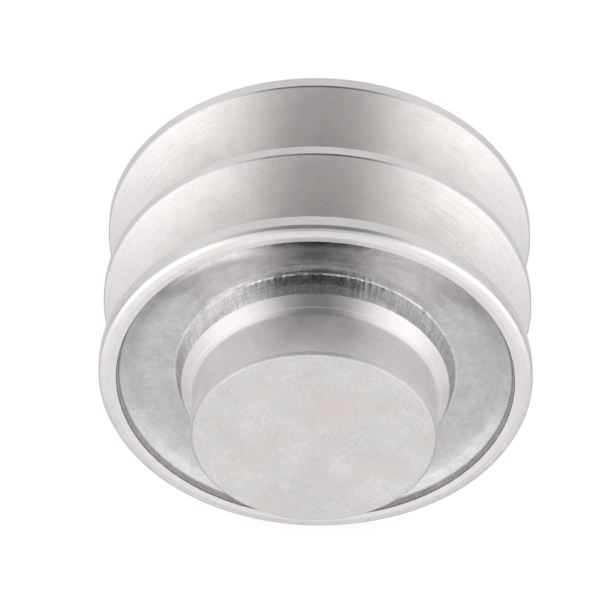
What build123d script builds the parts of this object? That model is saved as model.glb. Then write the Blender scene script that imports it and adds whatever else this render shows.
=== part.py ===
from build123d import *
import math
import os

# Double-groove V belt pulley with a closed front hub, built as an idler.
# The cast and turned sheave runs on two sealed ball bearings held in the rear
# of its hub; a captive shouldered axle carries them and is bolted to a bracket
# from behind.
# Frame: millimetres, +Z up, the axis of rotation is Y, the boss points to -Y
# and the mounting side to +Y. Origin: on the axis, midway between the belts.
# Names ending in _r are radii and those ending in _y are places along the axis.

# ---- main fits, shared by several pieces ----
axle_r = 6.0
bearing_out_r = 16.0
bearing_w = 10.0
fit_gap = 0.01             # radial clearance of a close fit
bearing_bore_r = axle_r + fit_gap
seat_r = bearing_out_r + fit_gap
seat_end_y = -19.5         # shoulder the front bearing seats on
spacer_len = 12.0
shim_t = 0.5
circlip_t = 1.2
circlip_groove_r = 16.85
circlip_groove_w = circlip_t + 0.1

# ---- stack along the axis, front to rear ----
front_bearing_y = seat_end_y + bearing_w / 2
spacer_y = seat_end_y + bearing_w + spacer_len / 2
rear_bearing_y = front_bearing_y + bearing_w + spacer_len
rear_bearing_end_y = rear_bearing_y + bearing_w / 2
circlip_y = rear_bearing_end_y + shim_t     # front face of the bore circlip

os.makedirs("parts", exist_ok=True)


def lathe(points):
    """Solid of revolution about Y from (radius, y) points."""
    return revolve(make_face(Polyline(*points, close=True)), axis=Axis.Y)


def mirrored(centre_y, points):
    """Outline symmetric about centre_y, from (radius, distance) points of its front half."""
    front = [(r, centre_y - d) for r, d in points]
    return front + [(r, centre_y + d) for r, d in reversed(points)]


def disc(r, y0, y1, x=0.0, z=0.0):
    """Cylinder along Y from y0 to y1."""
    return Pos(x, (y0 + y1) / 2, z) * Rot(90, 0, 0) * Cylinder(r, y1 - y0)


def ring(r_in, r_out, y0, y1):
    return lathe([(r_in, y0), (r_out, y0), (r_out, y1), (r_in, y1)])


def save(shape, node):
    export_step(shape, "parts/" + node + ".step")


# ---- sheave: rim and grooves ----
rim_r = 34.25              # outside radius of the three ridges
groove_pitch = 15.46       # centre to centre of the belts
groove_open = 13.94        # groove width at the outside diameter
groove_half_angle = 17.0   # degrees, 34 degree groove
groove_depth = 11.5
land_break = 0.30          # 45 degree edge break inside each lip of a groove
floor_corner_h = 0.5       # bevel between a groove's wall and floor: its height,
floor_corner_out = 0.15    # its reach outside the nominal corner
floor_corner_in = 0.35     # and its reach inside it
rear_face_y = 16.885       # rear face of the rim and of the rear hub ring
rear_corner = 0.45

# ---- sheave: machined front ring ----
ring_in_r, ring_in_y = 31.346, -17.33
ring_top_r, ring_top_y = 32.45, -17.413
ring_out_y = -17.15
front_corner = 0.53        # radial size of the ring's rounded outer corner
front_land_y = ring_top_y + 0.88   # where the front ridge's land meets that corner

# ---- sheave: (radius, y) of the front surface, boss foot to front ring ----
front_wall = [
    (19.27, -20.69),       # foot of the boss
    (19.78, -19.869),      # inner edge of the machined cone
    (21.13, -18.341),      # top of the as-cast hub wall, outer edge of the cone
    (21.84, -14.50),       # base of the hub wall
    (25.0, -15.02),        # middle of the web
    (31.18, -16.08),       # outer edge of the web
]
boss_r = front_wall[0][0]
boss_face_y = -29.308
boss_break = 0.30

# ---- sheave: rear recess, hub face and bore ----
rear_ring_in_r = 31.35
rear_ring_draft = 0.15
rear_web_depth = 1.4       # recess depth at the rim
rear_web_dish = 2.5        # recess depth at the hub
rear_web_flat = 2.5        # width of the flat floor next to the hub
rear_hub_base_r = 22.0
rear_hub_r = 21.35
rear_hub_break = 0.3
mouth_chamfer = 0.8
pocket_r = 12.8            # clearance for the axle's end and its circlip
pocket_end_y = -24.3
pocket_chamfer = 0.6


def groove(centre_y):
    """Outline of one groove from its front lip to its rear lip."""
    wall_half = groove_open / 2 - land_break
    taper = math.tan(math.radians(groove_half_angle))
    floor_half = wall_half - (groove_depth - land_break) * taper
    floor_r = rim_r - groove_depth
    return mirrored(centre_y, [
        (rim_r, groove_open / 2),
        (rim_r - land_break, wall_half),
        (floor_r + floor_corner_h, floor_half + floor_corner_out),
        (floor_r, floor_half - floor_corner_in),
    ])


def sheave():
    corner_mid = front_corner * (1 - math.sqrt(0.5))
    return lathe([
        (0, boss_face_y),
        (boss_r - boss_break, boss_face_y),
        (boss_r, boss_face_y + boss_break),
        *front_wall,
        (ring_in_r, ring_in_y),
        (ring_top_r, ring_top_y),
        (rim_r - front_corner, ring_out_y),
        (rim_r - corner_mid, (ring_out_y + front_land_y) / 2 - corner_mid),
        (rim_r, front_land_y),
        *groove(-groove_pitch / 2),
        *groove(groove_pitch / 2),
        (rim_r, rear_face_y - rear_corner),
        (rim_r - rear_corner, rear_face_y),
        (rear_ring_in_r, rear_face_y),
        (rear_ring_in_r - rear_ring_draft, rear_face_y - rear_web_depth),
        (rear_hub_base_r + rear_web_flat, rear_face_y - rear_web_dish),
        (rear_hub_base_r, rear_face_y - rear_web_dish),
        (rear_hub_r, rear_face_y - rear_hub_break),
        (rear_hub_r - rear_hub_break, rear_face_y),
        (seat_r + mouth_chamfer, rear_face_y),
        (seat_r, rear_face_y - mouth_chamfer),
        (seat_r, circlip_y + circlip_groove_w),
        (circlip_groove_r, circlip_y + circlip_groove_w),
        (circlip_groove_r, circlip_y),
        (seat_r, circlip_y),
        (seat_r, seat_end_y),
        (pocket_r, seat_end_y),
        (pocket_r, pocket_end_y + pocket_chamfer),
        (pocket_r - pocket_chamfer, pocket_end_y),
        (0, pocket_end_y),
    ])


save(sheave(), "sheave")

# ---- bearings, 12 x 32 x 10 ----
ball_r = 2.976
ball_count = 7
ball_phase = 0.3           # turn of the first ball, in ball spacings
ball_pitch_r = 11.0
race_r = 3.09
race_gap = 0.015
inner_ring_break = 0.3
inner_shoulder_r = 9.2
outer_ring_break = 0.4
outer_shoulder_r = 12.9
seal_seat_r = 13.7
seal_in = 3.9              # half distance between the two seals of a bearing
seal_t = 0.9
seal_gap = 0.05            # between the lip and the inner ring
seal_recess = 0.35         # depth of the seal's face below its heel
seal_edge = 0.15
lip_top_w, lip_foot_w = 0.5, 0.9
heel_top_w, heel_foot_w = 0.7, 1.0     # measured inwards from the seal's seat
cage_in_r = 9.75
cage_out_r = 12.35
cage_back = 3.7            # reach of the closed side from the ball centres
cage_mouth = 1.1           # reach of the open side
cage_pocket_r = 3.08
cage_pocket_len = 6


def race(centre_y, major_r):
    return Pos(0, centre_y, 0) * Rot(90, 0, 0) * Torus(major_r, race_r)


def inner_ring(centre_y):
    half_w = bearing_w / 2
    body = lathe(mirrored(centre_y, [
        (bearing_bore_r, half_w - inner_ring_break),
        (bearing_bore_r + inner_ring_break, half_w),
        (inner_shoulder_r, half_w),
    ]))
    return body - race(centre_y, ball_pitch_r - ball_r - race_gap + race_r)


def outer_ring(centre_y):
    half_w = bearing_w / 2
    body = lathe(mirrored(centre_y, [
        (outer_shoulder_r, seal_in),
        (seal_seat_r, seal_in),
        (seal_seat_r, half_w),
        (bearing_out_r - outer_ring_break, half_w),
        (bearing_out_r, half_w - outer_ring_break),
    ]))
    return body - race(centre_y, ball_pitch_r + ball_r + race_gap - race_r)


def ball_places():
    for i in range(ball_count):
        angle = 2 * math.pi * (i + ball_phase) / ball_count
        yield ball_pitch_r * math.cos(angle), ball_pitch_r * math.sin(angle)


def balls(centre_y):
    return Compound(children=[Pos(x, centre_y, z) * Sphere(ball_r) for x, z in ball_places()])


def cage(centre_y, open_side):
    """Crown cage with ball pockets, open towards -Y (-1) or +Y (1)."""
    ends = sorted([-open_side * cage_back, open_side * cage_mouth])
    body = ring(cage_in_r, cage_out_r, centre_y + ends[0], centre_y + ends[1])
    pockets = [
        Pos(x, centre_y, z)
        * Rot(0, 90 - math.degrees(math.atan2(z, x)), 0)
        * Cylinder(cage_pocket_r, cage_pocket_len)
        for x, z in ball_places()
    ]
    return body - pockets


def seal(centre_y, side):
    """Rubber seal with a raised heel and a lip that rides over the inner ring."""
    inner_y = centre_y + side * seal_in
    outer_y = inner_y + side * seal_t
    edge_y = outer_y - side * seal_edge
    recess_y = outer_y - side * seal_recess
    lip_r = inner_shoulder_r + seal_gap
    rim_seal_r = seal_seat_r - fit_gap
    return lathe([
        (lip_r, inner_y),
        (lip_r + lip_top_w, edge_y),
        (lip_r + lip_foot_w, recess_y),
        (seal_seat_r - heel_foot_w, recess_y),
        (seal_seat_r - heel_top_w, outer_y),
        (rim_seal_r - seal_edge, outer_y),
        (rim_seal_r, edge_y),
        (rim_seal_r, inner_y),
    ])


# name, centre, open side of the cage, names of the -Y and +Y seals
for name, centre_y, open_side, seal_names in (
    ("front", front_bearing_y, -1, ("nose", "inboard")),
    ("rear", rear_bearing_y, 1, ("inboard", "mount")),
):
    save(inner_ring(centre_y), name + "_inner_ring")
    save(outer_ring(centre_y), name + "_outer_ring")
    save(balls(centre_y), name + "_balls")
    save(cage(centre_y, open_side), name + "_cage")
    for side, seal_name in zip((-1, 1), seal_names):
        save(seal(centre_y, side), f"{name}_bearing_{seal_name}_seal")

# ---- spacers between the bearings ----
spacer_gap = 0.04          # radial clearance to the seat or the axle
spacer_break = 0.3


def spacer(r_in, r_out, outer_break):
    half_len = spacer_len / 2
    return lathe(mirrored(spacer_y, [
        (r_in, half_len - spacer_break),
        (r_in + spacer_break, half_len),
        (r_out - outer_break, half_len),
        (r_out, half_len - outer_break),
    ]))


save(spacer(14.1, seat_r - spacer_gap, outer_break=0.27), "outer_spacer")
save(spacer(axle_r + spacer_gap, 8.3, outer_break=spacer_break), "inner_spacer")


# ---- shim and bore circlip that hold the outer rings ----
def circlip(r_in, r_out, y0, y1, gap_w, gap_h, gap_z, lug_r, hole_r, lug_x, lug_z):
    """Ring with a gap at the top (+Z) and a drilled lug on each side of it."""
    clip = ring(r_in, r_out, y0, y1)
    clip -= Pos(0, (y0 + y1) / 2, gap_z) * Box(gap_w, (y1 - y0) * 2, gap_h)
    for side in (-1, 1):
        clip += disc(lug_r, y0, y1, side * lug_x, lug_z)
    for side in (-1, 1):
        clip -= disc(hole_r, y0 - 1, y1 + 1, side * lug_x, lug_z)
    return clip


def bore_circlip():
    clip_r = circlip_groove_r - 0.1
    y0, y1 = circlip_y, circlip_y + circlip_t
    clip = circlip(14.0, clip_r, y0, y1, gap_w=5.0, gap_h=8.0, gap_z=clip_r,
                   lug_r=1.9, hole_r=0.95, lug_x=3.9, lug_z=13.1)
    # trim the lugs to the outside of the ring
    return clip & disc(clip_r, y0, y1)


save(ring(13.9, 15.9, rear_bearing_end_y, circlip_y), "bearing_shim")
save(bore_circlip(), "bore_circlip")

# ---- axle with collar, flange, circlip groove and tapped rear end ----
axle_end_y = -22.6
axle_nose_chamfer = 0.65
axle_groove_r = 5.75
axle_shim_t = 0.5
axle_clip_t = 1.0
axle_groove_w = axle_clip_t + 0.1
axle_groove_end_y = seat_end_y - axle_shim_t    # rear wall of the circlip groove
collar_r = 8.4
flange_r = 11.0
flange_y = 17.6
flange_front_break = 0.4
flange_rear_break = 0.5
mount_face_y = 21.0
flange_flats = 19.0        # across the two spanner flats
flat_cut_w = 10
thread_core_r = 3.4        # tapping size of an M8 thread
thread_depth = 22.0
thread_chamfer = 0.6
drill_point_angle = 118    # degrees, included


def axle():
    groove_y = axle_groove_end_y - axle_groove_w
    hole_y = mount_face_y - thread_depth
    tip_slope = math.tan(math.radians(90 - drill_point_angle / 2))
    body = lathe([
        (0, axle_end_y),
        (axle_r - axle_nose_chamfer, axle_end_y),
        (axle_r, axle_end_y + axle_nose_chamfer),
        (axle_r, groove_y),
        (axle_groove_r, groove_y),
        (axle_groove_r, axle_groove_end_y),
        (axle_r, axle_groove_end_y),
        (axle_r, rear_bearing_end_y),
        (collar_r, rear_bearing_end_y),
        (collar_r, flange_y),
        (flange_r - flange_front_break, flange_y),
        (flange_r, flange_y + flange_front_break),
        (flange_r, mount_face_y - flange_rear_break),
        (flange_r - flange_rear_break, mount_face_y),
        (thread_core_r + thread_chamfer, mount_face_y),
        (thread_core_r, mount_face_y - thread_chamfer),
        (thread_core_r, hole_y),
        (0, hole_y - thread_core_r * tip_slope),
    ])
    flat_x = (flange_flats + flat_cut_w) / 2
    for side in (-1, 1):
        body -= Pos(side * flat_x, (flange_y + mount_face_y) / 2, 0) * Box(
            flat_cut_w, mount_face_y - flange_y + 2, 30
        )
    return body


def axle_circlip():
    """External circlip on the axle's nose."""
    y0, y1 = axle_groove_end_y - axle_clip_t, axle_groove_end_y
    bore_r = axle_groove_r + fit_gap
    clip = circlip(bore_r, 7.6, y0, y1, gap_w=2.2, gap_h=6.0, gap_z=7.0,
                   lug_r=1.45, hole_r=0.75, lug_x=2.35, lug_z=8.25)
    # clear the lugs out of the bore and the gap
    clip -= disc(bore_r, y0 - 1, y1 + 1)
    clip -= Pos(0, (y0 + y1) / 2, 8.0) * Box(1.6, axle_clip_t * 2, 6.0)
    return clip


save(axle(), "axle")
save(ring(axle_r + 0.02, 8.9, axle_groove_end_y, seat_end_y), "axle_shim")
save(axle_circlip(), "axle_circlip")

# ---- pressed dust shield on the collar, against the flange ----
shield_t = 0.8
shield_step = 1.6          # forward offset of the shield's outer part
shield_inner_bend_r = 12.0
shield_outer_bend_r = 13.2
shield_bend_shift = 0.45   # radial shift of the bends on the rear face
shield_out_r = 15.35


def dust_shield():
    bore_r = collar_r + fit_gap
    return lathe([
        (bore_r, flange_y),
        (bore_r, flange_y - shield_t),
        (shield_inner_bend_r, flange_y - shield_t),
        (shield_outer_bend_r, flange_y - shield_step - shield_t),
        (shield_out_r, flange_y - shield_step - shield_t),
        (shield_out_r, flange_y - shield_step),
        (shield_outer_bend_r + shield_bend_shift, flange_y - shield_step),
        (shield_inner_bend_r + shield_bend_shift, flange_y),
    ])


save(dust_shield(), "dust_shield")
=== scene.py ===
"""A two-groove sheave turning on two sealed ball bearings and a flanged axle.

The axis is Y and y = 0 lies midway between the grooves. The front, with the closed boss,
faces -Y, towards the camera; the axle's mounting flange is at +Y. Shapes are laid out
in millimetres and become metres as each mesh is made.
"""
import math

import bmesh
import bpy
import numpy as np
from mathutils import Matrix


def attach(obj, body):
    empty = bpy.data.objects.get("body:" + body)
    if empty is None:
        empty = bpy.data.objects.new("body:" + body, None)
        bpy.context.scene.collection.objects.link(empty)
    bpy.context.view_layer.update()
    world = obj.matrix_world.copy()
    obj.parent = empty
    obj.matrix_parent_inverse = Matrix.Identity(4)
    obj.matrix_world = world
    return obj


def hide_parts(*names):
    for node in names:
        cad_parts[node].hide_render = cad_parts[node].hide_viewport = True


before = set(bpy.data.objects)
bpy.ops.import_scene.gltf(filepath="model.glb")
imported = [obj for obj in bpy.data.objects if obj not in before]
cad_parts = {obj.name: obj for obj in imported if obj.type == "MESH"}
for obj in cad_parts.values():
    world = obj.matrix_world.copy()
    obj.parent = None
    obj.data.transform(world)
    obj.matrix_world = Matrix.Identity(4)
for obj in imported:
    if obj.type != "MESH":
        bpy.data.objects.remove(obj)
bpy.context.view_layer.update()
MM = 0.001

# ---- driving dimensions, mm ----
RIM_R = 34.25
GROOVE_PITCH = 15.46
GROOVE_OPENING = 13.94
GROOVE_WALL_ANGLE = 17.0  # degrees
GROOVE_DEPTH = 11.5
GROOVE_BREAK = 0.19  # chamfer at the groove's mouth
BOSS_FACE_Y = -29.308
REAR_FACE_Y = 16.885
LIP_R, LIP_Y = 22.12, -15.22  # torn lip between the hub's wall and the front web
WEB_INNER_R = 21.84
WALL_DEPTH = 3.06  # of the hub's wall, forward from the lip
BORE_R = 16.01

FRONT_BEARING_Y, REAR_BEARING_Y = -14.5, 7.5
BEARING_HALF = 5.0  # half the bearing's width
BALL_R, BALL_CIRCLE_R = 2.976, 11.0
RACE_R, RACE_GAP = 3.09, 0.015
INNER_LAND_R, OUTER_LAND_R = 9.2, 12.9
SEAL_SEAT_R, SEAL_SEAT_Y = 13.7, 3.9  # SEAL_SEAT_Y is from the bearing's middle
SHIM = 0.5
BEARINGS_FRONT = FRONT_BEARING_Y - BEARING_HALF
SPACER_FRONT = FRONT_BEARING_Y + BEARING_HALF
SPACER_REAR = REAR_BEARING_Y - BEARING_HALF
BEARINGS_REAR = REAR_BEARING_Y + BEARING_HALF

PIN_R = 6.0
SHOULDER_R = 8.4
FLANGE_R = 11.0
FLANGE_Y, MOUNT_Y = 17.6, 21.0
FLAT_X = 9.5  # each spanner flat, from the axis
THREAD_PITCH, THREAD_CORE, THREAD_END = 1.25, 3.4, 2.4
THREAD_HEIGHT = 0.58


# ---- noise for mesh work ----


def wrap_noise(seed, turn, along, count, cell):
    """Smooth value noise. turn runs 0 to 1 and wraps over count cells; along is a length."""
    grid = np.random.RandomState(seed).uniform(-1.0, 1.0, (count, 64))
    cell_a = np.mod(turn, 1.0) * count
    cell_b = along / cell
    ia = np.floor(cell_a).astype(int)
    ib = np.floor(cell_b).astype(int)
    ta = cell_a - ia
    tb = cell_b - ib
    ta = ta * ta * (3 - 2 * ta)
    tb = tb * tb * (3 - 2 * tb)

    def value(i, j):
        return grid[np.mod(i, count), np.mod(j, 64)]

    return (
        value(ia, ib) * (1 - ta) * (1 - tb)
        + value(ia + 1, ib) * ta * (1 - tb)
        + value(ia, ib + 1) * (1 - ta) * tb
        + value(ia + 1, ib + 1) * ta * tb
    )


def ring_noise(seed, turn, count):
    """Noise that changes only round the axis."""
    return wrap_noise(seed, turn, 0.0, count, 1.0)


def layered(turn, along, layers):
    """Sum of noises. Layers: height, seed, cells in a turn, cell length."""
    return sum(h * wrap_noise(seed, turn, along, count, cell) for h, seed, count, cell in layers)


def smooth(x, low, high):
    t = np.clip((x - low) / (high - low), 0, 1)
    return t * t * (3 - 2 * t)


# ---- lathe ----
# A profile row is: radius, y, fillet, zone of the span after it, step along that span.

ARC_STEP = math.radians(20)  # longest turn between points of a fillet
SUPPORT = 0.05  # distance of a support loop from a fillet


def round_corner(before, corner, after, fillet):
    """Start, end and inner points of the fillet at a corner."""
    u, v = before - corner, after - corner
    len_u, len_v = np.hypot(*u), np.hypot(*v)
    u, v = u / len_u, v / len_v
    angle = math.acos(max(-1, min(1, float(u @ v))))
    if math.pi - angle < 0.02:
        return corner, corner, []
    trim = min(fillet / math.tan(angle / 2), 0.42 * len_u, 0.42 * len_v)
    fillet = trim * math.tan(angle / 2)
    middle = (u + v) / np.hypot(*(u + v))
    centre = corner + middle * (fillet / math.sin(angle / 2))
    start, end = corner + u * trim, corner + v * trim
    a0 = math.atan2(*(start - centre)[::-1])
    a1 = math.atan2(*(end - centre)[::-1])
    sweep = (a1 - a0 + math.pi) % (2 * math.pi) - math.pi
    count = max(2, int(math.ceil(abs(sweep) / ARC_STEP)))
    angles = [a0 + sweep * j / count for j in range(1, count)]
    return start, end, [centre + fillet * np.array([math.cos(a), math.sin(a)]) for a in angles]


def lay_out(rows, closed):
    """Ring points (r, y) of a profile, and the zone of the span after each."""
    n = len(rows)
    corners = [np.array(row[:2], float) for row in rows]
    points, zones = [], []

    def put(point, zone):
        if points and np.hypot(*(point - points[-1])) < 1e-5:
            zones[-1] = zone
            return
        points.append(point)
        zones.append(zone)

    cuts = []
    for i, row in enumerate(rows):
        at_end = not closed and i in (0, n - 1)
        if row[2] <= 0 or at_end:
            cuts.append((corners[i], corners[i], []))
        else:
            cuts.append(round_corner(corners[i - 1], corners[i], corners[(i + 1) % n], row[2]))
    for i, (start, end, arc) in enumerate(cuts):
        zone_out, step = rows[i][3:]
        zone_in = rows[i - 1][3] if (closed or i) else zone_out
        put(start, zone_in if arc else zone_out)
        for j, point in enumerate(arc):
            put(point, zone_in if j < len(arc) // 2 else zone_out)
        put(end, zone_out)
        if i == n - 1 and not closed:
            break
        next_start, _, next_arc = cuts[(i + 1) % n]
        span = next_start - end
        length = float(np.hypot(*span))
        support = min(SUPPORT, length / 5)
        params = []
        if length > 0.2:
            if arc:
                params.append(support / length)
            if next_arc:
                params.append(1 - support / length)
        if step:
            count = int(math.ceil(length / step))
            params += [j / count for j in range(1, count)]
        last = -1
        for t in sorted(params):
            if t - last > 1e-3:
                put(end + span * t, zone_out)
                last = t
    return np.array(points), zones


def add_object(name, data):
    ob = bpy.data.objects.new(name, data)
    bpy.context.scene.collection.objects.link(ob)
    return ob


def lathe(name, rows, n_turn, mats, closed=True, shape=None):
    """Mesh turned about Y. shape(theta, r, y) gives offsets outward along the profile's
    normal. mats maps a zone to its material."""
    ring, zones = lay_out(rows, closed)
    n = len(ring)
    theta = np.arange(n_turn) * 2 * math.pi / n_turn
    if closed:
        tangent = np.roll(ring, -1, 0) - np.roll(ring, 1, 0)
    else:
        tangent = np.gradient(ring, axis=0)
    tangent = tangent / np.maximum(np.hypot(tangent[:, 0], tangent[:, 1]), 1e-12)[:, None]
    r, y = ring[:, 0], ring[:, 1]
    area = 0.5 * np.sum(r * np.roll(y, -1) - np.roll(r, -1) * y)
    sign = 1.0 if area > 0 else -1.0
    normal = np.stack([tangent[:, 1], -tangent[:, 0]], 1) * sign
    r, y = ring[:, :1], ring[:, 1:2]
    offset = np.zeros((n, n_turn)) if shape is None else shape(theta[None, :], r, y)
    r = r + normal[:, :1] * offset
    y = y + normal[:, 1:2] * offset
    places = np.stack([r * np.cos(theta), y, r * np.sin(theta)], -1)

    # a profile end on the axis becomes a single vertex
    poles = [not closed and k in (0, n - 1) and ring[k, 0] < 1e-6 for k in range(n)]
    blocks, index, base = [], np.zeros((n, n_turn), int), 0
    for k in range(n):
        if poles[k]:
            blocks.append(np.array([[0, ring[k, 1], 0]]))
            index[k, :] = base
        else:
            blocks.append(places[k])
            index[k, :] = base + np.arange(n_turn)
        base += len(blocks[-1])
    verts = np.concatenate(blocks) * MM

    faces, face_slots, slots = [], [], []
    for k in range(n if closed else n - 1):
        material = mats[zones[k]]
        if material not in slots:
            slots.append(material)
        following = (k + 1) % n
        a, b = index[k], index[following]
        a_next, b_next = np.roll(a, -1), np.roll(b, -1)
        if poles[k]:
            loop = [a, b_next, b]
        elif poles[following]:
            loop = [a, a_next, b]
        else:
            loop = [a, a_next, b_next, b]
        if sign < 0:
            loop = loop[:1] + loop[:0:-1]
        faces += np.stack(loop, 1).tolist()
        face_slots += [slots.index(material)] * n_turn
    mesh = bpy.data.meshes.new(name)
    mesh.from_pydata(verts.tolist(), [], faces)
    for material in slots:
        mesh.materials.append(material)
    mesh.polygons.foreach_set("material_index", np.array(face_slots, np.int32))
    mesh.polygons.foreach_set("use_smooth", np.ones(len(faces), bool))
    mesh.update()
    return add_object(name, mesh)


def stand_in(ob, node, body):
    """Let a mesh take the place of a CAD piece and move with its body."""
    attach(ob, body)
    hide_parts(node)


# ---- shader graphs ----


class Graph:
    """The emptied node tree of a material or world, with short ways to add nodes."""

    def __init__(self, owner):
        owner.use_nodes = True
        self.tree = owner.node_tree
        self.tree.nodes.clear()

    def add(self, kind):
        return self.tree.nodes.new(kind)

    def feed(self, sock, value):
        if isinstance(value, bpy.types.NodeSocket):
            self.tree.links.new(value, sock)
        else:
            sock.default_value = value

    def fill(self, node, values):
        """Feed a node's first inputs in order and return its first output."""
        for sock, value in zip(node.inputs, values):
            self.feed(sock, value)
        return node.outputs[0]

    def math(self, op, a, b=0.0):
        node = self.add("ShaderNodeMath")
        node.operation = op
        return self.fill(node, (a, b, 0.0))

    def plus(self, a, b):
        return self.math("ADD", a, b)

    def times(self, a, b):
        return self.math("MULTIPLY", a, b)

    def vec(self, op, a, b=(0, 0, 0)):
        node = self.add("ShaderNodeVectorMath")
        node.operation = op
        self.fill(node, (a, b))
        return node.outputs["Value"] if op == "DOT_PRODUCT" else node.outputs[0]

    def combine(self, x, y, z):
        return self.fill(self.add("ShaderNodeCombineXYZ"), (x, y, z))

    def remap(self, value, span, to=(0.0, 1.0), kind="SMOOTHSTEP"):
        node = self.add("ShaderNodeMapRange")
        node.interpolation_type = kind
        return self.fill(node, (value, *span, *to))

    def ramp(self, value, stops):
        """Grey ramp through (position, level) stops."""
        node = self.add("ShaderNodeValToRGB")
        colours = node.color_ramp
        colours.interpolation = "LINEAR"
        while len(colours.elements) < len(stops):
            colours.elements.new(0.5)
        for element, (position, level) in zip(colours.elements, stops):
            element.position = position
            element.color = (level, level, level, 1)
        return self.fill(node, (value,))

    def mix(self, factor, a, b):
        node = self.add("ShaderNodeMix")
        node.data_type = "RGBA"
        for key, value in (("Factor", factor), ("A", a), ("B", b)):
            sock = [s for s in node.inputs if s.name == key and s.enabled][0]
            self.feed(sock, (*value, 1.0) if isinstance(value, tuple) else value)
        return [s for s in node.outputs if s.enabled][0]

    def mix_shader(self, factor, a, b):
        return self.fill(self.add("ShaderNodeMixShader"), (factor, a, b))

    def noise(self, vec, scale, detail=2.0, rough=0.5, dist=0.0):
        node = self.add("ShaderNodeTexNoise")
        self.feed(node.inputs["Vector"], vec)
        node.inputs["Scale"].default_value = scale
        node.inputs["Detail"].default_value = detail
        node.inputs["Roughness"].default_value = rough
        node.inputs["Distortion"].default_value = dist
        return node.outputs[0]

    def bump(self, height, distance, strength=1.0, normal=None):
        node = self.add("ShaderNodeBump")
        node.inputs["Distance"].default_value = distance
        node.inputs["Strength"].default_value = strength
        self.feed(node.inputs["Height"], height)
        if normal is not None:
            self.feed(node.inputs["Normal"], normal)
        return node.outputs[0]

    def split(self, vec):
        node = self.add("ShaderNodeSeparateXYZ")
        self.fill(node, (vec,))
        return node.outputs

    def radius(self, x, z):
        return self.math("SQRT", self.plus(self.times(x, x), self.times(z, z)))

    def angle(self, x, z):
        return self.math("ARCTAN2", z, x)


def begin(name):
    """A material, its graph, its BSDF's inputs and the object position in mm."""
    material = bpy.data.materials.new(name)
    graph = Graph(material)
    output = graph.add("ShaderNodeOutputMaterial")
    bsdf = graph.add("ShaderNodeBsdfPrincipled")
    graph.feed(output.inputs[0], bsdf.outputs[0])
    position = graph.vec("SCALE", graph.add("ShaderNodeTexCoord").outputs["Object"])
    position.node.inputs["Scale"].default_value = 1000.0
    return material, graph, bsdf.inputs, position


def scaled(colour, factor):
    return tuple(c * factor for c in colour)


def tint(graph, base, value, strength):
    """Base colour, darker or lighter as value runs from 0 to 1."""
    light = tuple(min(1.0, c * (1 + strength)) for c in base)
    return graph.mix(value, scaled(base, 1 - strength), light)


# faint stains: shift of the pattern, its scale, the noise span that shows, colour factors
STAINS = (
    (None, 0.13, (0.50, 0.68), (1.00, 0.955, 0.915)),  # warm
    ((31.0, 7.0, 5.0), 0.16, (0.52, 0.70), (1.00, 0.94, 0.955)),  # pink
    ((-17.0, 23.0, 11.0), 0.19, (0.54, 0.70), (0.955, 1.0, 0.965)),  # green
)


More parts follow.
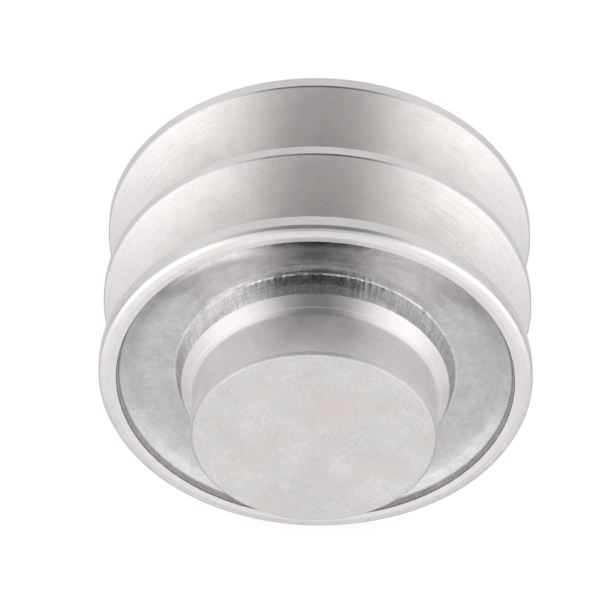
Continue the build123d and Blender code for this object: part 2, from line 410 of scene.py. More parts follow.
def turned_metal(name, base, rough, lines, line_depth, aniso, mottle, skin=1.0, stain=0.0,
                 grime=0.0, spread=0.05, grainy=0.4, crease_shade=(), feed=None):
    """Lathe-turned metal: circumferential lay of two pitches, patchy tone, faint stains.

    lines: coarse lines per mm; spread: range of roughness; grainy: share of grain in the
    tone; creases: rings of painted shade where two surfaces meet (y, width, darkness); feed:
    tool marks (pitch, darkness, depth in metres)."""
    material, graph, inputs, position = begin(name)
    x, y, z = graph.split(position)
    r, angle = graph.radius(x, z), graph.angle(x, z)
    times = graph.times

    def lay(density, around):
        return graph.combine(times(r, density), times(y, density), times(angle, around))

    coarse = graph.noise(lay(lines, around=0.25), scale=1.0, detail=1.0)
    fine = graph.noise(lay(7.0, around=0.6), scale=1.0, rough=0.6)
    patch = graph.noise(position, scale=0.22, detail=4.0, rough=0.62, dist=0.4)
    grain = graph.noise(position, scale=2.4, detail=3.0, rough=0.6)
    tone = graph.plus(times(patch, 1.0 - grainy), times(grain, grainy))
    tone = graph.remap(tone, span=(0.32, 0.68))
    colour = tint(graph, base, tone, mottle)
    line_tone = graph.remap(fine, span=(0.3, 0.7))
    colour = graph.mix(times(line_tone, 0.10), colour, scaled(base, 0.82))
    if stain:
        for shift, scale, span, factors in STAINS:
            place = graph.vec("ADD", position, shift) if shift else position
            cloud = graph.noise(place, scale, detail=3.0, rough=0.55, dist=0.8)
            shown = times(graph.remap(cloud, span), stain)
            colour = graph.mix(shown, colour, tuple(c * f for c, f in zip(base, factors)))
    if grime:
        spots = graph.remap(graph.noise(position, scale=3.6, rough=0.7), span=(0.63, 0.71))
        where = graph.remap(graph.noise(position, scale=0.35), span=(0.42, 0.58))
        colour = graph.mix(times(times(spots, where), grime), colour, scaled(base, 0.45))
    # Painted shade: darkens the colour in a thin, uneven ring about each given y, where two
    # surfaces meet.
    for crease_y, width, dark in crease_shade:
        away = graph.math("ABSOLUTE", graph.math("SUBTRACT", y, crease_y))
        near = graph.remap(away, span=(width * 0.35, width), to=(1.0, 0.0))
        uneven = graph.noise(position, scale=0.8, detail=3.0)
        near = times(near, graph.remap(uneven, span=(0.2, 0.5), to=(0.6, 1.0)))
        colour = graph.mix(times(near, dark), colour, scaled(base, 0.22))
    roughness = graph.plus(rough - spread, times(tone, 2 * spread))
    graph.feed(inputs["Roughness"], graph.plus(roughness, times(fine, 0.05)))
    tangent = graph.add("ShaderNodeTangent")
    tangent.direction_type = "RADIAL"
    tangent.axis = "Y"
    graph.feed(inputs["Tangent"], tangent.outputs[0])
    inputs["Anisotropic"].default_value = aniso
    inputs["Anisotropic Rotation"].default_value = 0.25
    inputs["Metallic"].default_value = 1.0
    height = graph.plus(times(coarse, 1.0), times(fine, 0.45))
    normal = graph.bump(height, distance=line_depth * 8)
    if feed:
        # a regular scroll, stronger in some places than others
        pitch, dark, depth = feed
        along = graph.plus(r, times(coarse, 0.12))
        wave = graph.math("SINE", times(along, 2 * math.pi / pitch))
        held = graph.remap(graph.noise(position, scale=0.10), span=(0.35, 0.62), to=(0.25, 1.0))
        scroll = graph.plus(0.5, times(times(wave, held), 0.5))
        colour = graph.mix(times(scroll, dark), colour, scaled(base, 0.5))
        normal = graph.bump(scroll, distance=depth, normal=normal)
    graph.feed(inputs["Base Color"], colour)
    normal = graph.bump(grain, distance=3.0e-6 * skin, strength=0.6, normal=normal)
    graph.feed(inputs["Normal"], normal)
    return material


def cast_metal(name, base, rough, depth, mottle, streaks=0.0, burnish=None, corner=0.0, ease=1.0):
    """As-cast aluminium: orange-peel, grain specks and small pits.

    streaks: depth in metres of scores along the draft; burnish: part of the turn rubbed
    bright (from, to in degrees, colour), which needs streaks; corner: radius up to which
    painted shade darkens the colour; ease: range of roughness."""
    material, graph, inputs, position = begin(name)
    times = graph.times
    big = graph.noise(position, scale=0.28, detail=4.0, rough=0.6, dist=0.5)
    mid = graph.noise(position, scale=1.3, detail=3.0, rough=0.6)
    fine = graph.noise(position, scale=4.2, detail=3.0, rough=0.65)
    tone = graph.plus(times(big, 0.40), graph.plus(times(mid, 0.27), times(fine, 0.33)))
    tone = graph.remap(tone, span=(0.34, 0.66))
    colour = tint(graph, base, tone, mottle)
    pits = graph.remap(graph.noise(position, scale=3.1, detail=1.0), span=(0.70, 0.76))
    shifted = graph.vec("ADD", position, (9.0, 4.0, 2.0))
    where = graph.remap(graph.noise(shifted, scale=0.5, detail=1.0), span=(0.46, 0.6))
    pits = times(pits, where)
    colour = graph.mix(times(pits, 0.55), colour, scaled(base, 0.4))
    if streaks:
        # scores laid on a cylinder: many round the axis, long along it
        cylinder_r, along = 21.5, 0.11
        x, y, z = graph.split(position)
        angle = graph.angle(x, z)
        around_x = times(graph.math("COSINE", angle), cylinder_r)
        around_z = times(graph.math("SINE", angle), cylinder_r)
        place = graph.combine(around_x, times(y, along), around_z)
        score = graph.noise(place, scale=3.0, detail=3.0, rough=0.65)
        dark = graph.remap(score, span=(0.36, 0.60), to=(0.24, 0.0))
        colour = graph.mix(dark, colour, scaled(base, 0.35))
        light = graph.remap(score, span=(0.52, 0.68), to=(0.0, 0.22))
        colour = graph.mix(light, colour, tuple(min(0.95, c * 1.5) for c in base))
    if burnish:
        start, end, bright = burnish
        off_middle = graph.math("SUBTRACT", angle, math.radians((start + end) / 2))
        away = graph.math("ABSOLUTE", off_middle)
        width = end - start
        edge = (math.radians(width * 0.28), math.radians(width * 0.62))
        rub = graph.remap(away, span=edge, to=(1.0, 0.0))
        rub = times(rub, graph.remap(score, span=(0.34, 0.60), to=(0.45, 1.0)))
        colour = graph.mix(rub, colour, bright)
    # Painted shade: the colour darkens over the last 0.28 mm of radius up to corner, where the
    # web meets the step wall.
    if corner:
        x, _, z = graph.split(position)
        near = graph.remap(graph.radius(x, z), span=(corner - 0.28, corner))
        colour = graph.mix(times(near, 0.75), colour, scaled(base, 0.25))
    graph.feed(inputs["Base Color"], colour)
    inputs["Metallic"].default_value = 1.0
    graph.feed(inputs["Roughness"], graph.plus(rough - 0.06 * ease, times(tone, 0.12 * ease)))
    normal = graph.bump(mid, distance=depth)
    normal = graph.bump(fine, distance=depth * 0.55, strength=0.8, normal=normal)
    raised = graph.math("SUBTRACT", 1.0, pits)
    normal = graph.bump(raised, distance=depth, strength=0.7, normal=normal)
    if streaks:
        normal = graph.bump(score, distance=streaks, normal=normal)
    graph.feed(inputs["Normal"], normal)
    return material


def speckled(name, patches, grain_scale, dark, light, rough, bump, values):
    """Plain material with a patchy tone over a fine grain.

    patches: noise settings; rough: least roughness and its gain; bump: settings of the
    grain's relief; values: other BSDF inputs."""
    material, graph, inputs, position = begin(name)
    patch = graph.noise(position, **patches)
    grain = graph.noise(position, grain_scale, rough=0.6)
    tone = graph.remap(patch, span=(0.35, 0.65))
    graph.feed(inputs["Base Color"], graph.mix(tone, dark, light))
    least, gain = rough
    graph.feed(inputs["Roughness"], graph.plus(least, graph.times(patch, gain)))
    graph.feed(inputs["Normal"], graph.bump(grain, **bump))
    for key, value in values.items():
        inputs[key].default_value = value
    return material


# ---- materials ----

SHEAVE_ZONES = {
    "groove": turned_metal(
        "alu_groove_turned", base=(0.85, 0.829, 0.822), rough=0.37, lines=2.1,
        line_depth=3.0e-6, aniso=0.85, mottle=0.07, grime=0.8, feed=(0.42, 0.10, 5.0e-6)),
    "rim": turned_metal(
        "alu_rim_turned", base=(0.62, 0.6, 0.598), rough=0.38, lines=2.6,
        line_depth=2.0e-6, aniso=0.8, mottle=0.05, grime=0.4),
    "ring": turned_metal(
        "alu_ring_faced", base=(0.77, 0.746, 0.744), rough=0.28, lines=1.6,
        line_depth=0.8e-6, aniso=0.7, mottle=0.05, stain=0.8, grime=0.45, skin=0.35),
    "cone": turned_metal(
        "alu_cone_turned", base=(0.83, 0.803, 0.801), rough=0.49, lines=2.0,
        line_depth=1.4e-6, aniso=0.85, mottle=0.06),
    "boss_side": turned_metal(
        "alu_boss_turned", base=(0.76, 0.736, 0.734), rough=0.52, lines=1.8,
        line_depth=1.4e-6, aniso=0.3, mottle=0.09, stain=0.5, grime=0.4, skin=0.6),
    "boss_face": turned_metal(
        "alu_boss_faced", base=(0.69, 0.668, 0.667), rough=0.36, lines=1.2,
        line_depth=1.0e-6, aniso=0.5, mottle=0.105, stain=0.85, grime=0.5, spread=0.08,
        skin=0.7, grainy=0.6),
    "corner": turned_metal(
        "alu_corner_turned", base=(0.76, 0.736, 0.734), rough=0.44, lines=2.0,
        line_depth=1.4e-6, aniso=0.5, mottle=0.06, grime=0.4, skin=0.6),
    # Base colour darker than the boss side's: painted shade that dims the highlight on the
    # rounded edge.
    "boss_edge": turned_metal(
        "alu_boss_edge", base=(0.56, 0.542, 0.541), rough=0.58, lines=1.2,
        line_depth=1.0e-6, aniso=0.2, mottle=0.10, stain=1.0, grainy=0.55),
    # The step's two dark rings are painted shade where its wall meets the web and the ring.
    "step": turned_metal(
        "alu_step_turned", base=(0.66, 0.639, 0.638), rough=0.50, lines=3.0,
        line_depth=1.5e-6, aniso=0.6, mottle=0.08,
        crease_shade=((-16.02, 0.24, 0.9), (-17.30, 0.20, 0.8))),
    "rear": turned_metal(
        "alu_rear_faced", base=(0.6, 0.581, 0.58), rough=0.34, lines=1.6,
        line_depth=1.2e-6, aniso=0.8, mottle=0.06, stain=0.6, grime=0.4),
    "bore": turned_metal(
        "alu_seat_bored", base=(0.66, 0.639, 0.638), rough=0.25, lines=2.4,
        line_depth=1.0e-6, aniso=0.8, mottle=0.04),
    # corner=31.08 paints shade into the web's outer corner, at the foot of the step wall.
    "web": cast_metal(
        "alu_as_cast", base=(0.53, 0.519, 0.531), rough=0.145, depth=1.5e-5, mottle=0.14,
        corner=31.08, ease=0.5),
    "rear_web": cast_metal(
        "alu_as_cast_rear", base=(0.50, 0.490, 0.500), rough=0.30, depth=1.6e-5, mottle=0.10),
    "lip": cast_metal(
        "alu_cast_lip", base=(0.62, 0.606, 0.608), rough=0.32, depth=0.8e-5, mottle=0.12),
    "wall": cast_metal(
        "alu_cast_wall", base=(0.54, 0.53, 0.533), rough=0.27, depth=4.0e-6, mottle=0.07,
        streaks=1.1e-5, burnish=(112.0, 166.0, (0.84, 0.822, 0.822))),
}
STEEL = turned_metal(
    "bearing_steel_ground", base=(0.60, 0.60, 0.61), rough=0.16, lines=3.0,
    line_depth=0.25e-6, aniso=0.4, mottle=0.03, spread=0.02)
BALL = turned_metal(
    "ball_polished", base=(0.70, 0.70, 0.71), rough=0.07, lines=0.6,
    line_depth=0.02e-6, aniso=0.0, mottle=0.02, spread=0.02)
SPACER = turned_metal(
    "spacer_turned_steel", base=(0.50, 0.50, 0.51), rough=0.30, lines=2.2,
    line_depth=1.0e-6, aniso=0.85, mottle=0.06, grime=0.3)
SHIM_STEEL = turned_metal(
    "shim_steel", base=(0.56, 0.55, 0.54), rough=0.26, lines=1.0,
    line_depth=0.3e-6, aniso=0.2, mottle=0.06)
ZINC = turned_metal(
    "axle_zinc_plated", base=(0.56, 0.58, 0.61), rough=0.28, lines=1.8,
    line_depth=0.9e-6, aniso=0.45, mottle=0.07, stain=0.5, grime=0.3)
ZINC_FACE = turned_metal(
    "axle_flange_faced", base=(0.54, 0.56, 0.59), rough=0.30, lines=1.4,
    line_depth=1.2e-6, aniso=0.6, mottle=0.08, stain=0.6, grime=0.5, feed=(0.30, 0.14, 3.0e-6))
SHIELD = turned_metal(
    "shield_zinc_pressed", base=(0.50, 0.52, 0.55), rough=0.33, lines=0.9,
    line_depth=0.6e-6, aniso=0.25, mottle=0.09, stain=0.4, grime=0.4, spread=0.06)
RUBBER = speckled(
    "seal_nitrile", patches=dict(scale=1.6, detail=4.0, rough=0.6), grain_scale=9.0,
    dark=(0.020, 0.020, 0.021), light=(0.042, 0.042, 0.044), rough=(0.48, 0.16),
    bump=dict(distance=1.2e-5, strength=0.7), values={"Specular IOR Level": 0.45})
NYLON = speckled(
    "cage_polyamide", patches=dict(scale=0.9, detail=3.0, rough=0.6), grain_scale=7.0,
    dark=(0.72, 0.69, 0.57), light=(0.80, 0.77, 0.66), rough=(0.36, 0.12),
    bump=dict(distance=8e-6, strength=0.6),
    values={"Subsurface Weight": 0.12, "Subsurface Radius": (0.0012, 0.001, 0.0007)})
CLIP = speckled(
    "circlip_phosphated", patches=dict(scale=1.8, detail=4.0, rough=0.65), grain_scale=8.0,
    dark=(0.055, 0.055, 0.060), light=(0.11, 0.108, 0.11), rough=(0.34, 0.2),
    bump=dict(distance=1.0e-5, strength=0.6), values={"Metallic": 0.75})


# ---- sheave: one casting; its webs and the hub's outer wall are left as cast ----


def groove(centre):
    """Rows of one vee groove, front to rear."""
    half = GROOVE_OPENING / 2
    wall = half - GROOVE_BREAK
    slope = math.tan(math.radians(GROOVE_WALL_ANGLE))
    bottom = wall - (GROOVE_DEPTH - GROOVE_BREAK) * slope
    return [
        (RIM_R, centre - half, 0.07, "rim", None),
        (RIM_R - GROOVE_BREAK, centre - wall, 0.10, "groove", 1.6),
        (RIM_R - GROOVE_DEPTH, centre - bottom, 0.55, "groove", 1.5),
        (RIM_R - GROOVE_DEPTH, centre + bottom, 0.55, "groove", 1.6),
        (RIM_R - GROOVE_BREAK, centre + wall, 0.10, "rim", None),
        (RIM_R, centre + half, 0.07, "rim", 0.6),
    ]


# from the middle of the boss's face out to the rim
SHEAVE_FRONT = [
    (0, BOSS_FACE_Y, 0, "boss_face", 1.6),
    (18.88, BOSS_FACE_Y, 0.30, "boss_edge", None),
    (19.27, -28.92, 0.30, "boss_side", 1.2),
    (19.27, -20.98, 0.15, "cone", None),
    (19.19, -20.55, 0.10, "cone", None),
    (19.54, -20.00, 0.03, "cone", None),
    (19.58, -19.93, 0.03, "cone", None),
    (19.88, -19.80, 0.03, "cone", 0.5),
    (21.13, -18.341, 0.08, "wall", 0.13),
    (21.84, -16.75, 4.0, "wall", 0.10),
    (LIP_R, LIP_Y, 0.03, "lip", 0.045),
    (LIP_R + 0.36, LIP_Y + 0.14, 0.03, "web", 0.12),
    (24.6, -15.04, 1.5, "web", 0.22),
    (28.1, -15.16, 20.0, "web", 0.25),
    (31.12, -16.30, 0.20, "step", None),
    (31.33, -17.26, 0.06, "step", None),
    (31.45, -17.37, 0.06, "ring", 0.6),
    (32.45, -17.43, 1.0, "ring", 0.6),
    (32.95, -17.38, 0.0, "corner", 0.5),
    (33.50, -17.30, 0.9, "corner", 0.5),
    (34.02, -16.98, 0.30, "rim", None),
    (RIM_R, -16.50, 0.25, "rim", 0.6),
]
# from the rim over the rear web and down the stepped bore to its blind end
SHEAVE_REAR = [
    (RIM_R, 16.435, 0.12, "rim", None),
    (33.80, REAR_FACE_Y, 0.12, "rear", 0.8),
    (31.35, REAR_FACE_Y, 0.08, "rear_web", 0.4),
    (31.10, 15.485, 0.5, "rear_web", 0.3),
    (24.5, 14.385, 1.0, "rear_web", 0.3),
    (22.0, 14.385, 0.6, "rear_web", 0.3),
    (21.35, 16.585, 0.10, "rear", None),
    (21.05, REAR_FACE_Y, 0.10, "rear", 0.8),
    (16.81, REAR_FACE_Y, 0.06, "bore", None),
    (BORE_R, 16.085, 0.06, "bore", None),
    (BORE_R, 14.30, 0.03, "bore", None),
    (16.85, 14.30, 0.05, "bore", None),
    (16.85, BEARINGS_REAR + SHIM, 0.05, "bore", None),
    (BORE_R, BEARINGS_REAR + SHIM, 0.03, "bore", 4.0),
    (BORE_R, BEARINGS_FRONT, 0.05, "bore", None),
    (12.80, BEARINGS_FRONT, 0.08, "bore", None),
    (12.80, -24.30, 0.6, "bore", None),
    (0, -24.30, 0, "bore", None),
]
# layers of relief: height, seed, cells in a turn, cell length
FRONT_SKIN = ((0.022, 11, 22, 3.6), (0.007, 12, 90, 1.1), (0.003, 13, 330, 0.45))
REAR_SKIN = ((0.030, 21, 20, 3.4), (0.014, 22, 80, 1.2), (0.008, 23, 300, 0.5))
DRAG_MARKS = ((0.011, 31, 260, 3.2), (0.014, 32, 540, 2.6), (0.016, 33, 70, 1.4))
LIP_REACH = ((0.10, 41, 120, 1.0), (0.10, 42, 380, 1.0), (0.11, 43, 26, 1.0))
NICK_RIDGES = [-16.7, -14.72, -0.76, 0.76, 14.72, 16.5]


def web_skins(turn, r, y):
    """Uneven as-cast skin of the front and rear webs."""
    front = (y < -13.5) & (y > -16.3) & (r > 20.9) & (r < 30.90)
    fade = smooth(r, 21.0, 22.6) * (1 - smooth(r, 30.2, 30.85))
    rear = (y > 14.0) & (r > 22.2) & (r < 31.1)
    rear_fade = smooth(r, 22.2, 23.2) * (1 - smooth(r, 30.3, 31.0))
    return (np.where(front, layered(turn, r, FRONT_SKIN) * fade, 0)
            + np.where(rear, layered(turn, r, REAR_SKIN) * rear_fade, 0))


def wall_marks(turn, r, y):
    """Drag marks along the hub wall's draft, and teeth that hang from the torn lip."""
    wall = (y < LIP_Y + 0.001) & (y > -18.4) & (r < LIP_R + 0.01) & (r > 21.0)
    depth = np.clip((LIP_Y - y) / WALL_DEPTH, 0, 1)
    patchy = (0.55 + 0.45 * ring_noise(30, turn, 11)
              + 0.5 * smooth(ring_noise(34, turn, 5), 0.0, 0.6))
    drag = layered(turn, y + 40, DRAG_MARKS)
    drag = patchy * drag * smooth(depth, 0.0, 0.05) * (1 - smooth(depth, 0.86, 1.0))
    teeth = (np.clip(ring_noise(35, turn, 430) - 0.05, 0, 1) * 0.13
             + np.clip(ring_noise(36, turn, 160) - 0.45, 0, 1) * 0.12)
    hang = np.exp(-depth * WALL_DEPTH / 0.55) * smooth(depth, 0.0, 0.02)
    return np.where(wall, drag + patchy * teeth * hang, 0)


def torn_lip(turn, r, y):
    """Ragged ramp and burr between wall and web, highest near a quarter turn."""
    lip = (r > LIP_R - 0.005) & (r < WEB_INNER_R + 1.3) & (y < -13.5) & (y > LIP_Y - 0.01)
    away = np.abs(np.mod(turn - 0.25 + 0.5, 1.0) - 0.5) * 360.0
    keep = 0.25 + 0.75 * np.exp(-((away / 62.0) ** 2))
    reach = (0.20 + layered(turn, 0.0, LIP_REACH)) * keep
    ramp = np.clip(reach - (r - LIP_R), 0, 1) * 0.45
    # the profile has a ramp of its own, which this one takes the place of
    own = np.clip(0.36 - (r - LIP_R), 0, 1) * 0.39
    burr = np.clip(ring_noise(44, turn, 520), 0, 1) * 0.03
    burr = burr * np.exp(-(((r - LIP_R - 0.10) / 0.10) ** 2))
    return np.where(lip, ramp - own + burr, 0)


def second_line(turn, r, y):
    """A fainter torn line further out on part of the front web."""
    line_r = (LIP_R + 0.85 + 0.12 * ring_noise(46, turn, 60)
              + 0.05 * ring_noise(47, turn, 300))
    part = smooth(ring_noise(48, turn, 9), 0.05, 0.35)
    near = (r > LIP_R + 0.4) & (r < 24.0) & (y < -13.5) & (y > -16.2)
    return np.where(near, 0.045 * part * np.exp(-(((r - line_r) / 0.07) ** 2)), 0)


def sheave_shape(theta, r, y):
    turn = theta / (2 * math.pi)
    offset = web_skins(turn, r, y) + wall_marks(turn, r, y)
    offset = offset + torn_lip(turn, r, y) + second_line(turn, r, y)
    # nicks along the rim's three ridges
    random = np.random.RandomState(77)
    for _ in range(46):
        nick_turn = random.uniform(0, 1)
        nick_y = random.choice(NICK_RIDGES)
        width = random.uniform(0.0005, 0.0014)
        length = random.uniform(0.08, 0.2)
        depth = random.uniform(0.015, 0.045)
        away = np.mod(turn - nick_turn + 0.5, 1.0) - 0.5
        hit = np.exp(-((away / width) ** 2) - (((y - nick_y) / length) ** 2))
        offset -= np.where(r > RIM_R - 0.6, depth * hit, 0)
    return offset


sheave_rows = (
    SHEAVE_FRONT + groove(-GROOVE_PITCH / 2) + groove(GROOVE_PITCH / 2) + SHEAVE_REAR
)
sheave = lathe("sheave_casting", sheave_rows, 1200, SHEAVE_ZONES, closed=False,
               shape=sheave_shape)
stand_in(sheave, "sheave", "sheave")


# ---- bearings, spacers, shims and shield; rows are radius, y, fillet ----


def turned_piece(name, node, body, rows, material, n_turn=256):
    rows = [(*row, "all", None) for row in rows]
    stand_in(lathe(name, rows, n_turn, {"all": material}), node, body)


def race(centre_r, centre_y, land_r, side):
    """Ball track cut in a land; side is 1 for the outer ring and -1 for the inner."""
    opening = math.sqrt(RACE_R**2 - (centre_r - land_r) ** 2)
    half_angle = math.degrees(math.asin(opening / RACE_R))
    facing = 0 if side > 0 else 180
    start, end = facing + half_angle, facing - half_angle
    steps = 18
    rows = [(land_r, centre_y + side * opening, 0.0)]
    for k in range(1, steps):
        angle = math.radians(start + (end - start) * k / steps)
        rows.append((centre_r + RACE_R * math.cos(angle),
                     centre_y + RACE_R * math.sin(angle), 0.0))
    return rows + [(land_r, centre_y - side * opening, 0.0)]


def bearing(label, mid, seal_names):
    front, rear = mid - BEARING_HALF, mid + BEARING_HALF
    track = race(BALL_CIRCLE_R - BALL_R - RACE_GAP + RACE_R, mid, INNER_LAND_R, -1)
    turned_piece(
        f"{label}_bearing_inner_ring", f"{label}_inner_ring", "axle",
        [(6.01, front, 0.3), (INNER_LAND_R, front, 0.15), *track,
         (INNER_LAND_R, rear, 0.15), (6.01, rear, 0.3)], STEEL)
    track = race(BALL_CIRCLE_R + BALL_R + RACE_GAP - RACE_R, mid, OUTER_LAND_R, 1)
    seat_front, seat_rear = mid - SEAL_SEAT_Y, mid + SEAL_SEAT_Y
    turned_piece(
        f"{label}_bearing_outer_ring", f"{label}_outer_ring", "sheave",
        [(16.0, front, 0.4), (16.0, rear, 0.4), (SEAL_SEAT_R, rear, 0.1),
         (SEAL_SEAT_R, seat_rear, 0.04), (OUTER_LAND_R, seat_rear, 0.06), *track,
         (OUTER_LAND_R, seat_front, 0.06), (SEAL_SEAT_R, seat_front, 0.04),
         (SEAL_SEAT_R, front, 0.1)], STEEL)
    for side, seal in zip((-1, 1), seal_names):
        node = f"{label}_bearing_{seal}_seal"
        inside, outside = mid + side * SEAL_SEAT_Y, mid + side * 4.8
        turned_piece(
            node + "_lip", node, "sheave",
            [(9.25, inside, 0.0), (9.75, outside - side * 0.15, 0.08),
             (10.15, outside - side * 0.35, 0.12), (12.70, outside - side * 0.35, 0.12),
             (13.0, outside, 0.10), (13.54, outside, 0.08),
             (13.69, outside - side * 0.15, 0.05), (13.69, inside, 0.04)], RUBBER)


def sleeve(name, node, body, inner_r, outer_r, front, rear, fillet, material):
    rows = [(inner_r, front, fillet), (outer_r, front, fillet),
            (outer_r, rear, fillet), (inner_r, rear, fillet)]
    turned_piece(name, node, body, rows, material)


bearing("front", FRONT_BEARING_Y, ("nose", "inboard"))
bearing("rear", REAR_BEARING_Y, ("inboard", "mount"))
sleeve("outer_spacer_sleeve", "outer_spacer", "sheave",
       14.1, 15.97, SPACER_FRONT, SPACER_REAR, 0.25, SPACER)
sleeve("inner_spacer_sleeve", "inner_spacer", "axle",
       6.04, 8.3, SPACER_FRONT, SPACER_REAR, 0.25, SPACER)
sleeve("bearing_shim_ring", "bearing_shim", "sheave",
       13.9, 15.9, BEARINGS_REAR, BEARINGS_REAR + SHIM, 0.05, SHIM_STEEL)
sleeve("axle_shim_ring", "axle_shim", "axle",
       6.02, 8.9, BEARINGS_FRONT - SHIM, BEARINGS_FRONT, 0.05, SHIM_STEEL)
turned_piece(
    "dust_shield_pressing", "dust_shield", "axle",
    [(8.41, FLANGE_Y, 0.1), (8.41, 16.8, 0.1), (12.0, 16.8, 0.55), (13.2, 15.2, 0.35),
     (15.35, 15.2, 0.25), (15.35, 16.0, 0.25), (13.65, 16.0, 0.55), (12.45, FLANGE_Y, 0.35)],
    SHIELD, n_turn=320)

# ---- axle: shouldered pin with a flange, two spanner flats and a tapped rear end ----

AXLE_ROWS = [
    (0, -22.6, 0, "pin", None),
    (5.35, -22.6, 0.08, "pin", None),
    (PIN_R, -21.95, 0.08, "pin", None),
    (PIN_R, -21.1, 0.03, "pin", None),
    (5.75, -21.1, 0.05, "pin", None),
    (5.75, BEARINGS_FRONT - SHIM, 0.05, "pin", None),
    (PIN_R, BEARINGS_FRONT - SHIM, 0.03, "pin", 6.0),
    (PIN_R, BEARINGS_REAR, 0.05, "pin", None),
    (SHOULDER_R, BEARINGS_REAR, 0.12, "pin", None),
    (SHOULDER_R, FLANGE_Y, 0.08, "flange", None),
    (10.6, FLANGE_Y, 0.12, "flange", None),
    (FLANGE_R, 18.0, 0.12, "flange", None),
    (FLANGE_R, 20.5, 0.12, "flange", None),
    (10.5, MOUNT_Y, 0.12, "mount", 1.6),
    (4.0, MOUNT_Y, 0.06, "mount", None),
    (THREAD_CORE, 20.4, 0.04, "thread", 0.125),
    (THREAD_CORE, THREAD_END, 0.0, "thread", None),
    (THREAD_CORE, -1.0, 0.1, "thread", None),
    (0, -3.04, 0, "thread", None),
]
AXLE_ZONES = {"pin": STEEL, "flange": ZINC, "mount": ZINC_FACE, "thread": ZINC}
FLAT_SLOT = 1  # the flange's material


def thread_shape(theta, r, y):
    phase = np.mod(y / THREAD_PITCH + theta / (2 * math.pi), 1.0)
    vee = np.clip(1.12 - np.abs(2 * phase - 1) * 1.25, 0, 1)
    held = smooth(y, THREAD_END, THREAD_END + 1.2) * (1 - smooth(y, 20.15, 20.4))
    return -THREAD_HEIGHT * vee * held * (r < THREAD_CORE + 0.02)


def cut_flats(mesh):
    bm = bmesh.new()
    bm.from_mesh(mesh)
    for side in (-1, 1):
        cut = bmesh.ops.bisect_plane(
            bm, geom=bm.verts[:] + bm.edges[:] + bm.faces[:], dist=1e-7,
            plane_co=(side * FLAT_X * MM, 0, 0), plane_no=(side, 0, 0), clear_outer=True)
        edges = [e for e in cut["geom_cut"] if isinstance(e, bmesh.types.BMEdge)]
        for face in bmesh.ops.edgeloop_fill(bm, edges=edges, mat_nr=FLAT_SLOT)["faces"]:
            face.smooth = False
    bmesh.ops.recalc_face_normals(bm, faces=bm.faces[:])
    bm.to_mesh(mesh)
    bm.free()
    mesh.set_sharp_from_angle(angle=math.radians(35))


axle = lathe("axle_pin", AXLE_ROWS, 288, AXLE_ZONES, closed=False, shape=thread_shape)
cut_flats(axle.data)
stand_in(axle, "axle", "axle")

# CAD pieces that keep their meshes
for node, material in (
    ("front_balls", BALL), ("rear_balls", BALL), ("front_cage", NYLON),
    ("rear_cage", NYLON), ("bore_circlip", CLIP), ("axle_circlip", CLIP),
):
    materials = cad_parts[node].data.materials
    materials.clear()
    materials.append(material)

# ---- studio ----

# the camera's axes; VIEW_BACK points from the sheave to the camera
VIEW_RIGHT = (0.999511, 0.022277, 0.021932)
VIEW_UP = (-0.031261, 0.712263, 0.701216)
VIEW_BACK = (0.0, -0.701559, 0.712611)
CAMERA_PLACE = (-0.002817, -0.505535, 0.514511)  # metres
WHITE_LEVEL = 1.02  # backdrop and floor as the camera sees them

# Light all round, in bands about the view's right axis. TURNS are degrees: 0 is the view's
# up, 90 the camera's side, -90 beyond the sheave. A band has its distance from the middle
# plane, as a share of the direction, and a level at each turn.
TURNS = (-180, -140, -100, -65, -35, -10, 10, 30, 50, 65, 80, 95, 110, 125, 145)
BANDS = (
    (0.12, (1.00, 0.50, 0.70, 0.85, 1.20, 1.50, 1.22, 0.66, 0.15, 0.02, 0.01, 0.01, 0.06,
            0.50, 1.20)),
    (0.34, (0.95, 0.50, 0.80, 1.00, 1.30, 1.50, 1.12, 0.62, 0.17, 0.03, 0.02, 0.08, 0.42,
            1.25, 1.50)),
    (0.52, (1.08, 0.62, 0.90, 1.10, 1.35, 1.40, 1.02, 0.70, 0.47, 0.50, 0.80, 1.38, 1.80,
            1.95, 1.85)),
    (0.70, (1.25, 0.80, 0.95, 1.10, 1.25, 1.30, 1.07, 0.90, 0.90, 1.10, 1.45, 1.88, 2.15,
            2.20, 2.05)),
    (0.86, (1.20, 0.75, 0.90, 0.95, 0.98, 0.94, 0.87, 0.87, 1.04, 1.22, 1.42, 1.66, 1.84,
            1.90, 1.78)),
    (0.97, (0.95, 0.55, 0.50, 0.55, 0.62, 0.64, 0.66, 0.74, 0.90, 1.06, 1.26, 1.44, 1.58,
            1.60, 1.45)),
)


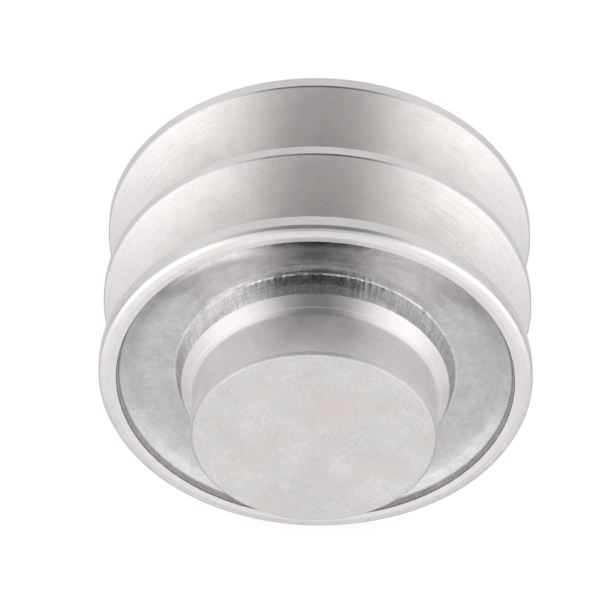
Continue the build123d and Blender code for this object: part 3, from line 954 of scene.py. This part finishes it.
def build_world():
    world = bpy.data.worlds.new("studio")
    bpy.context.scene.world = world
    graph = Graph(world)
    direction = graph.add("ShaderNodeTexCoord").outputs["Generated"]
    across, up, back = (
        graph.vec("DOT_PRODUCT", direction, axis) for axis in (VIEW_RIGHT, VIEW_UP, VIEW_BACK)
    )
    turn = graph.math("DIVIDE", graph.math("ARCTAN2", back, up), 2 * math.pi)
    turn = graph.plus(turn, 0.5)
    off_middle = graph.math("ABSOLUTE", across)
    tone = None
    for k, (reach, levels) in enumerate(BANDS):
        stops = [((a + 180) / 360.0, v) for a, v in zip(TURNS, levels)] + [(1.0, levels[0])]
        band = graph.ramp(turn, stops)
        if tone is None:
            tone = band
        else:
            tone = graph.mix(graph.remap(off_middle, (BANDS[k - 1][0], reach)), tone, band)
    light = graph.fill(graph.add("ShaderNodeBackground"), (tone, 1.0))
    white = graph.fill(graph.add("ShaderNodeBackground"), ((1, 1, 1, 1), WHITE_LEVEL))
    camera_ray = graph.add("ShaderNodeLightPath").outputs["Is Camera Ray"]
    shown = graph.mix_shader(camera_ray, light, white)
    graph.fill(graph.add("ShaderNodeOutputWorld"), (shown,)) if False else graph.feed(
        graph.add("ShaderNodeOutputWorld").inputs[0], shown)


def floor_material():
    """Pale table with a faint contact shade, seen only by the camera and from above."""
    material = bpy.data.materials.new("floor_lit_table")
    graph = Graph(material)
    contact = graph.add("ShaderNodeAmbientOcclusion")
    contact.samples = 8
    contact.inputs["Distance"].default_value = 0.004
    shade = graph.remap(contact.outputs["AO"], span=(0.0, 0.8), to=(0.90, 1.0), kind="LINEAR")
    grey = graph.combine(shade, shade, shade)
    table = graph.fill(graph.add("ShaderNodeEmission"), (grey, WHITE_LEVEL))
    unseen = graph.add("ShaderNodeBsdfTransparent").outputs[0]
    camera_ray = graph.add("ShaderNodeLightPath").outputs["Is Camera Ray"]
    top = graph.mix_shader(camera_ray, unseen, table)
    clear = graph.add("ShaderNodeBsdfTransparent").outputs[0]
    backfacing = graph.add("ShaderNodeNewGeometry").outputs["Backfacing"]
    surface = graph.mix_shader(backfacing, top, clear)
    graph.feed(graph.add("ShaderNodeOutputMaterial").inputs[0], surface)
    return material


def build_floor():
    material = floor_material()
    z = -(RIM_R + 0.02) * MM
    radius, sides = 3.0, 64  # metres
    mesh = bpy.data.meshes.new("floor")
    angles = [2 * math.pi * k / sides for k in range(sides)]
    edge = [(radius * math.cos(a), radius * math.sin(a), z) for a in angles]
    mesh.from_pydata(edge, [], [list(range(sides))])
    mesh.materials.append(material)
    add_object("floor", mesh)


def build_camera():
    data = bpy.data.cameras.new("camera")
    data.lens = 270.0
    data.sensor_width = 36.0
    data.clip_start = 0.05
    data.clip_end = 10.0
    camera = add_object("camera", data)
    rows = zip(VIEW_RIGHT, VIEW_UP, VIEW_BACK, CAMERA_PLACE)
    camera.matrix_world = Matrix((*rows, (0, 0, 0, 1)))
    bpy.context.scene.camera = camera


build_world()
build_floor()
build_camera()
bpy.context.scene.view_settings.view_transform = "Standard"
bpy.context.scene.view_settings.look = "None"
